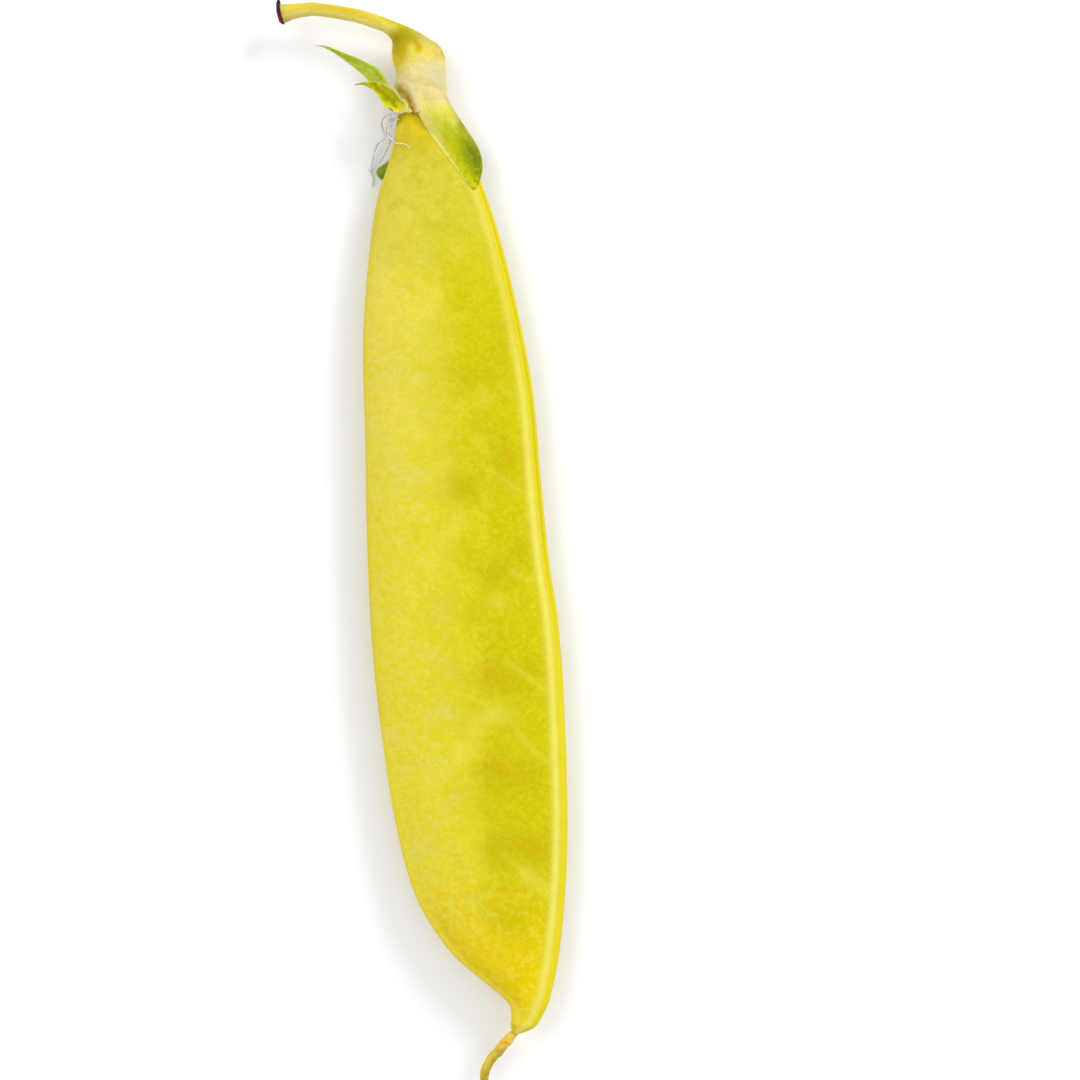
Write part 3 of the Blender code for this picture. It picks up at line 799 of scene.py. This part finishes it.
def blade(rows, thickness, crinkle, fold=0.0, frill=0.0):
    """The shape function of a thin blade between two edges, with crinkles, a fold along it and uneven edges."""

    def shape(share, angle):
        # across goes from -1 at one edge to 1 at the other
        across = -math.cos(angle)
        near = place_on(rows, share)
        far = Vector([along(rows, share, column) for column in (3, 4, 5)])
        outward = direction_on(rows, share).cross(far - near).normalized()
        width = (far - near).length / 2
        taper = closing(share, 0.05) * closing(1 - share, 0.03)
        uneven = 1 + frill * noise.noise(Vector((share * 9, across, 4.2))) * abs(across)
        place = (near + far) / 2 + (far - near) / 2 * across * taper * uneven
        bow = along(rows, share, 6) * (1 - across * across)
        ripple = crinkle * noise.noise(Vector((share * 8, across * width * 1.4, thickness * 31)))
        wave = crinkle * 0.6 * across * across * math.sin(share * 17 + across * 2)
        crease = fold * math.cos(2.6 * (across + 1)) * math.sin(math.pi * min(share * 1.25, 1.0))
        vein = thickness * 0.15 * bell(across / 0.08) * (1 - share)
        place += outward * (bow + (ripple + wave + crease) * min(width, 1.0) - vein)
        half = thickness / 2 * taper * (1 - 0.8 * abs(across) ** 3) * fade(share, -0.1, 0.12)
        place = off_the_pod(place, half + POD_CLEARANCE)
        place += outward * math.copysign(abs(math.sin(angle)) ** 0.6, math.sin(angle)) * half
        return place, {"lengthways": share, "across": across}

    return shape


# %% [markdown]
# ## The sepals' green
#
# A sepal is lime green with a fine speckle, pale yellow where it springs from the cup and darkest short of its tip.
# Its edges are thin, with a pale rim, and the near edge also carries painted light. On the broad upper sepal the far
# side is darkened as painted shade. A faint vein runs along its middle. One function makes the skin for all five.
# Each gives its own colours from base to tip, where the green begins, where it is deepest, how pale each edge is and
# how much painted light and painted shade its edges take, and its dark patches and creases.


# %% Colour a blade
def sepal_skin(piece, tints, green_from, deepest, rims=(0.8, 0.6, 0.0), stains=()):
    """Colours a sepal with five tints: where it springs from the cup, its base, body, deepest part and tip."""
    young, base, body, deep, tip = tints
    deep_at, deep_across = deepest
    near_pale_and_painted_light, far_pale_rim, far_shade = rims
    skin = Skin("sepal_skin_" + piece.name)
    lengthways, across = skin.value("lengthways"), skin.value("across")
    cloud = skin.speckle(1.3, 3.0)
    small_cloud = skin.speckle(0.4, 3.0)
    grain = skin.speckle(0.17)
    place = lengthways + (cloud - 0.5) * 0.2 + (small_cloud - 0.5) * 0.16
    colour = skin.laid_over(
        skin.mix(young, base, place.fade(0.18, green_from - 0.03)),
        (body, place.fade(green_from - 0.14, green_from + 0.14)),
        (deep, place.bump(deep_at, 0.21) * (across + (small_cloud - 0.5) * 0.6).bump(deep_across, 0.8)),
    )
    x, y, _ = skin.place(0.3, 0.9)
    colour = skin.marked(colour, x, y, [(deep, *stain) for stain in stains])
    stripes = (across * 13 + (cloud - 0.5) * 4).math("SINE") * 0.5 + 0.5
    # a pale strip along the near edge and pale rims on both edges, with painted light on the near edge
    pale_edge_and_painted_light = (across + (small_cloud - 0.5) * 0.4).fade(-0.45, -0.95) * near_pale_and_painted_light
    rim = across.fade(-0.84, -0.96) * near_pale_and_painted_light + across.fade(0.86, 0.98) * far_pale_rim
    colour = skin.laid_over(
        colour,
        (tip, place.fade(0.88, 1.0) * 0.9),
        (base, stripes * lengthways.fade(0.95, 0.6) * 0.05),
        ((250, 240, 146), pale_edge_and_painted_light * lengthways.fade(0.75, 0.35)),
        ((236, 228, 124), rim * lengthways.fade(0.99, 0.9)),
        ((132, 150, 10), across.bump(0.05, 0.06) * place.bump(0.6, 0.25) * 0.15),
        ((228, 220, 50), small_cloud.fade(0.52, 0.7) * 0.22),
        (deep, small_cloud.fade(0.48, 0.32) * place.fade(green_from, green_from + 0.2) * 0.4),
    )
    # painted shade: the far side is darkened
    far_painted_shade = 1 - across.fade(0.2, 0.9) * far_shade
    colour = skin.shade(colour, (0.8 + (small_cloud * 0.16 + grain * 0.26)) * far_painted_shade)
    relief = small_cloud + grain * 0.4 + stripes * 0.2
    skin.finish(piece, colour, 0.5 + cloud * 0.2, relief, 0.06)


# %% Make the sepals
CUP_CREAM = (232, 220, 174)
SEPAL_MAKES = {
    "sepal_upper_front": dict(
        piece=("sepal_over_shoulder", 72, 110),
        bends=(0.22, 0.07),
        tints=((222, 207, 142), (240, 230, 106), (208, 210, 0), (112, 130, 0), (178, 182, 10)),
        green_from=0.44,
        deepest=(0.7, 0.4),
        rims=(0.8, 0.15, 0.28),
        stains=((0.45, 0.1, 44.6, 0.4, 0.8), (0.35, 0.9, 41.7, 0.7, 0.9)),
    ),
    "sepal_side_front": dict(
        piece=("sepal_curled", 64, 100),
        bends=(0.2, 0.15, 0.3, 0.45),
        # these tints are lighter than the lobe's own: partly painted light on a slope that faces away from the lamps
        tints=((252, 236, 150), (250, 232, 70), (232, 226, 20), (152, 156, 0), (110, 132, 10)),
        green_from=0.34,
        deepest=(1.5, 0.25),
        stains=(
            (0.8, -9.6, 48.4, 0.9, 0.5),
            (0.75, ((-8.6, 48.25), (-7.5, 47.3), (-6.6, 46.6)), 0.3),
            (0.7, ((-7.6, 48.1), (-6.5, 47.35), (-5.5, 46.4)), 0.26),
            (0.5, ((-7.2, 46.9), (-6.3, 46.1)), 0.2),
        ),
    ),
    "sepal_middle": dict(
        piece=("sepal_long", 64, 110),
        bends=(0.2, 0.1, 0.1, 0.12),
        tints=((206, 204, 60), (206, 212, 70), (210, 222, 84), (146, 170, 16), (222, 226, 170)),
        green_from=0.32,
        deepest=(0.8, -0.4),
        rims=(0.1, 0.4, 0.0),
        stains=((0.75, ((-11.2, 51.35), (-8.6, 49.95), (-7.2, 48.5), (-6.8, 47.3)), 0.22),),
    ),
    "sepal_side_back": dict(
        piece=("sepal_beneath_side", 56, 80),
        bends=(0.22, 0.04),
        tints=(CUP_CREAM, (222, 216, 100), (164, 186, 66), (118, 158, 40), (128, 164, 60)),
        green_from=0.4,
        deepest=(0.85, 0.2),
    ),
    "sepal_upper_back": dict(
        piece=("sepal_beneath_shoulder", 64, 90),
        bends=(0.22, 0.05),
        tints=(CUP_CREAM, (230, 220, 96), (204, 205, 14), (150, 164, 0), (186, 188, 30)),
        green_from=0.42,
        deepest=(0.72, 0.2),
    ),
}
for node, make in SEPAL_MAKES.items():
    sepal = drawn_out(*make.pop("piece"), blade(SEPALS[node], *make.pop("bends")))
    keep(sepal, "sepal_skin", node)
    sepal_skin(sepal, **make)

# %% [markdown]
# ## The stem and the tail
#
# The stem is a curved stalk that thickens into the calyx and flares at its free end, where it snapped off. At the
# pod's other end hangs the tail, the withered style, a thin and uneven thread of tissue. Both are round, so their
# tables give points of a path and the radius there. The shape function also says where around the stem its pale band,
# which also carries painted light, and its golden stripe lie.

# %% Stem and tail tables: x, y, z and radius
STEM = (
    (-17.8, 55.62, 2.75, 0.95), (-17.4, 55.7, 2.78, 0.88), (-16.6, 55.85, 2.84, 0.76),
    (-14.85, 56.05, 2.95, 0.67), (-13.2, 55.9, 3.0, 0.66), (-11.5, 55.62, 3.0, 0.66), (-9.9, 55.28, 2.95, 0.67),
    (-8.4, 54.82, 2.88, 0.69), (-7.5, 54.46, 2.85, 0.64),
)
TAIL = (
    (5.8, -45.9, 3.1, 0.3), (5.2, -46.5, 3.08, 0.42), (4.6, -47.2, 3.0, 0.52), (3.85, -48.1, 2.7, 0.5),
    (3.05, -49.1, 2.35, 0.46), (2.55, -50.2, 2.0, 0.46), (2.45, -51.3, 1.7, 0.38), (2.75, -52.3, 1.45, 0.16),
)
print("the stem is", 2 * STEM[4][3], "mm thick half way, and", 2 * STEM[0][3], "mm where it snapped off")

# %% Shape the stem and the tail
RIB_COUNT = 7
BAND_ANGLE = 0.75
STRIPE_ANGLE = 2.05
STRIPE_SHARE = 0.6


def stalk(rows, ribs, lumps, start_reach=0.02, end_reach=0.02):
    """The shape function of a round stalk along a path, with ribs along it and uneven lumps."""

    def shape(share, angle):
        radius = along(rows, share, 3) * closing(share, start_reach) * closing(1 - share, end_reach)
        heading = direction_on(rows, share)
        side = heading.cross(Vector((0, 0, 1))).normalized()
        upright = side.cross(heading)
        outward = side * math.cos(angle) + upright * math.sin(angle)
        centre = place_on(rows, share)
        radius *= 1 + ribs * math.cos(RIB_COUNT * angle) + lumps * noise.noise((centre + outward) * 1.7)
        values = {
            "lengthways": share,
            "sideways": math.cos(angle),
            "pale_band_and_painted_light": bell((angle - BAND_ANGLE) / 0.55),
            "stripe": bell((angle - STRIPE_ANGLE) / 0.38) * bell((share - STRIPE_SHARE) / 0.24),
        }
        return centre + outward * radius, values

    return shape


stem = drawn_out("flower_stalk", 48, 150, stalk(STEM, 0.018, 0.05, 0.004))
keep(stem, "stem_skin", "stem")
tail = drawn_out("withered_tail", 40, 110, stalk(TAIL, 0.05, 0.2))
keep(tail, "style_skin", "style")

# %% [markdown]
# ## The crust
#
# The cut has dried to a dark crust, a thin cap over the stem's end. It is wider than the stem and a little hollow in
# its middle, and one side of its rim has dried into a small point. A ball pressed flat gives a cap with a round rim.

# %% Shape the crust
CRUST_CENTRE = Vector((-17.86, 55.62, 2.75))
CRUST_RADIUS = 1.12
CRUST_HALF_DEPTH = 0.26
HOLLOW_DEPTH = 0.14
POINT_LENGTH = 0.35
crust_out = (place_on(STEM, 0.0) - place_on(STEM, 0.04)).normalized()


def crust_shape(share, angle):
    """The point of the crust's skin, from the middle of its outer face over the rim to its back."""
    side = crust_out.cross(Vector((0, 0, 1))).normalized()
    upright = side.cross(crust_out)
    spread = math.sin(math.pi * share) ** 0.5
    point = POINT_LENGTH * bell(angle / 0.25)
    radius = CRUST_RADIUS * spread * (1 + point * spread + 0.04 * math.sin(5 * angle + 1))
    depth = CRUST_HALF_DEPTH * (math.cos(math.pi * share) + 1 - spread * spread) - HOLLOW_DEPTH * bell(share / 0.12)
    place = CRUST_CENTRE + crust_out * depth
    place += side * radius * math.cos(angle) + upright * radius * math.sin(angle)
    place += crust_out * 0.05 * noise.noise(place * 3.0)
    return place, {"sideways": math.cos(angle)}


crust = drawn_out("stem_cut_crust", 48, 40, crust_shape)
keep(crust, "stem_skin")

# %% [markdown]
# ## The colours of the stem, the crust and the tail
#
# The stem is yellow, paler along one side, where its own pale band carries painted light, and greener and darker
# along the other, partly as painted shade, with a golden stripe between and a dull end under the crust. The crust is
# nearly black, with dark red on the side that turns to the light. The tail is the same yellow as the pod with orange
# and brown stains, and browner towards its end.

# %% Colour the stem and the crust
skin = Skin("stem_skin")
lengthways, sideways = skin.value("lengthways"), skin.value("sideways")
cloud = skin.speckle(1.6, 3.0, (3, 1, 1))
small_cloud = skin.speckle(0.5, 3.0, (4, 1, 1))
grain = skin.speckle(0.2)
colour = skin.laid_over(
    skin.mix((230, 210, 76), (226, 204, 50), cloud),
    # the stem's own pale band, lifted with painted light
    ((242, 222, 130), skin.value("pale_band_and_painted_light") * 0.75),
    ((200, 190, 92), lengthways.fade(0.26, 0.06) * 0.8),
    ((208, 176, 4), skin.value("stripe") * 0.9),
    ((222, 208, 60), lengthways.fade(0.9, 1.0) * 0.5),
    # darker, greener upper side: partly its own tone, partly painted shade on the side facing the lamp
    ((200, 188, 36), sideways.fade(-0.5, -0.95) * 0.6),
    ((226, 196, 80), small_cloud.fade(0.55, 0.72) * 0.4),
)
# painted light on the lower side, which lies in shade
painted_light_below = sideways.fade(0.1, 0.9) * lengthways.fade(0.5, 0.8) * 0.14
colour = skin.shade(colour, 0.9 + (grain * 0.16 + small_cloud * 0.05) + painted_light_below)
skin.finish(stem, colour, 0.42 + small_cloud * 0.2, small_cloud + grain * 0.4, 0.05, 0.2)

skin = Skin("crust_skin")
small_cloud = skin.speckle(0.4, 3.0)
colour = skin.mix((122, 16, 34), (34, 14, 36), (skin.value("sideways") + (small_cloud - 0.5)).fade(-0.6, 0.3))
skin.finish(crust, colour, 0.5 + small_cloud * 0.3, small_cloud, 0.08, 0.2)

# %% Colour the tail
TAIL_STAINS = (
    ((238, 160, 8), 0.9, 4.6, -47.15, 0.4, 0.35),
    ((176, 156, 30), 0.7, 3.7, -48.1, 0.3, 0.3),
    ((150, 128, 0), 0.5, 5.45, -46.0, 0.4, 0.35),
)
skin = Skin("tail_skin")
x, y, _ = skin.place(0.15, 0.5)
cloud = skin.speckle(0.9, 3.0)
small_cloud = skin.speckle(0.35, 3.0)
colour = skin.laid_over(
    skin.mix((246, 220, 92), (232, 200, 54), cloud.fade(0.35, 0.65)),
    ((176, 150, 18), line(x, y, ((4.5, -47.9), (3.4, -49.0), (2.7, -50.5)), 0.3) * 0.6),
    ((222, 142, 6), small_cloud.fade(0.6, 0.7) * 0.5),
)
colour = skin.marked(colour, x, y, TAIL_STAINS)
colour = skin.mix(colour, (150, 128, 10), y.fade(-49.6, -51.6) * 0.7)
skin.finish(tail, colour, 0.6 + small_cloud * 0.2, small_cloud + cloud, 0.1, 0.2)

# %% [markdown]
# ## The withered stamens
#
# Beside the neck a scrap of the papery tube that the stamens grew from is left, and a few of their threads still hang
# from it. The scrap is a blade like a sepal, only thinner, more crinkled and with a torn edge. The threads are stalks
# of one thickness, so their tables give a path and the radius at its end.

# %% Scrap and thread tables
SHEATH = (
    (-6.8, 45.7, 2.9, -5.9, 45.65, 4.0, 0.12), (-6.95, 45.3, 2.85, -6.1, 45.15, 3.9, 0.15),
    (-7.0, 44.85, 2.85, -6.45, 44.75, 3.7, 0.1), (-6.95, 44.5, 3.0, -6.85, 44.45, 3.2, 0.0),
)
THREAD_RADIUS = 0.066
THREAD_ENDS = (0.06, 0.06, 0.04, 0.066)
THREADS = (
    (
        (-6.95, 45.7, 2.7), (-7.45, 45.45, 2.4), (-7.82, 45.05, 2.1), (-7.88, 44.55, 1.5), (-7.7, 43.95, 1.1),
        (-7.6, 43.45, 0.95), (-8.25, 42.95, 0.75), (-8.65, 42.2, 0.55), (-8.8, 41.5, 0.45), (-8.95, 40.8, 0.35),
        (-8.98, 40.1, 0.3), (-8.8, 39.4, 0.25), (-8.95, 38.6, 0.2),
    ),
    (
        (-7.15, 43.95, 1.9), (-7.0, 43.2, 1.7), (-7.2, 42.6, 1.55), (-7.5, 41.95, 1.45), (-7.9, 41.3, 1.2),
        (-8.35, 40.7, 0.95), (-8.9, 40.35, 0.75), (-9.35, 40.15, 0.6),
    ),
    (
        (-6.75, 44.6, 3.2), (-7.1, 43.75, 3.35), (-7.1, 43.3, 3.5), (-6.7, 42.8, 3.75), (-6.2, 42.5, 3.95),
        (-5.5, 42.4, 4.15), (-4.8, 41.95, 4.4),
    ),
    ((-6.9, 45.1, 2.6), (-7.4, 44.35, 2.3), (-7.35, 43.7, 2.2), (-7.15, 43.3, 2.15), (-6.95, 42.95, 2.15)),
)
print(len(THREADS), "threads,", 2 * THREAD_RADIUS, "mm thick")

# %% Shape the scrap and the threads
sheath = drawn_out("stamen_tube_scrap", 64, 64, blade(SHEATH, 0.08, 0.3, 0.1, 1.1))
keep(sheath, "papery", "stamen_sheath")
threads = []
for number, (end_radius, path) in enumerate(zip(THREAD_ENDS, THREADS), start=1):
    rows = [(*point, THREAD_RADIUS) for point in path[:-1]] + [(*path[-1], end_radius)]
    thread = drawn_out(f"stamen_{number}", 12, 70, stalk(rows, 0.0, 0.4))
    keep(thread, "papery", f"stamen_thread_{number}")
    threads.append(thread)

# %% [markdown]
# The dry tissue is whitish, a little yellow where it still touches the pod.

# %% Colour the scrap and the threads
skin = Skin("papery_skin")
small_cloud = skin.speckle(0.5, 3.0)
x, y, _ = skin.place()
colour = skin.mix((232, 232, 234), (190, 190, 198), small_cloud.fade(0.4, 0.7))
colour = skin.mix(colour, (240, 228, 176), x.fade(-6.7, -5.9) * 0.8)
for piece in (sheath, *threads):
    skin.finish(piece, colour, 0.6 + small_cloud * 0.2, small_cloud, 0.04, 0.2)

# %% [markdown]
# ## Surface, light and camera
#
# A find from a garden is often laid on white paper under even light. The floor is white and plain. Most of the light
# comes evenly from all sides, so colours stay true. A soft lamp from the upper right gives the pod its faint shadow,
# and a weaker, larger one from the upper left keeps that shadow light.

# %% Floor and lamps
PAPER_HALF_WIDTH = 1.5
PAPER_WHITE = (0.885, 0.885, 0.9)
EVEN_LIGHT = 0.8

bm = bmesh.new()
bmesh.ops.create_grid(bm, x_segments=1, y_segments=1, size=PAPER_HALF_WIDTH)
floor = as_piece("paper", bm)
paper = Skin("paper")
weave = paper.speckle(3.0, 3.0)
white = paper.shade(PAPER_WHITE, 0.995 + weave * 0.01)
paper.finish(floor, white, 0.8 + weave * 0.1, weave, 0.01, 0.5)

world = bpy.data.worlds.new("even_light")
scene.world = world
world.use_nodes = True
background = world.node_tree.nodes["Background"]
background.inputs["Color"].default_value = (1.0, 1.0, 1.0, 1.0)
background.inputs["Strength"].default_value = EVEN_LIGHT


def add_lamp(name, place, size, watts):
    """A square soft lamp that shines at the object's middle."""
    data = bpy.data.lights.new(name, "AREA")
    data.size = size
    data.energy = watts
    lamp = put_in_scene(name, data)
    lamp.location = place
    lamp.rotation_euler = Vector(place).to_track_quat("Z", "Y").to_euler()


add_lamp("low_lamp_right", (1.0, 1.0, 0.75), 0.6, 16.0)
add_lamp("high_lamp_left", (-0.84, 0.48, 1.15), 0.9, 6.0)

# %% [markdown]
# The camera looks straight down with a long lens, so that the pod's sides don't lean away. How high it stands
# follows from how wide the view is and from the lens.

# %% Camera
VIEW_WIDTH = 108 * MM
LENS = 100.0
SENSOR = 36.0
VIEW_MIDDLE = Vector((8.0, 3.0, 2.8)) * MM + DRAWING_TO_FRAME
data = bpy.data.cameras.new("camera")
data.lens = LENS
data.sensor_width = SENSOR
data.clip_start = 0.01
camera = put_in_scene("camera", data)
camera.location = VIEW_MIDDLE + Vector((0, 0, VIEW_WIDTH * LENS / SENSOR))
scene.camera = camera
scene.view_settings.view_transform = "Standard"
print("camera stands", round(camera.location.z, 3), "m above the floor")
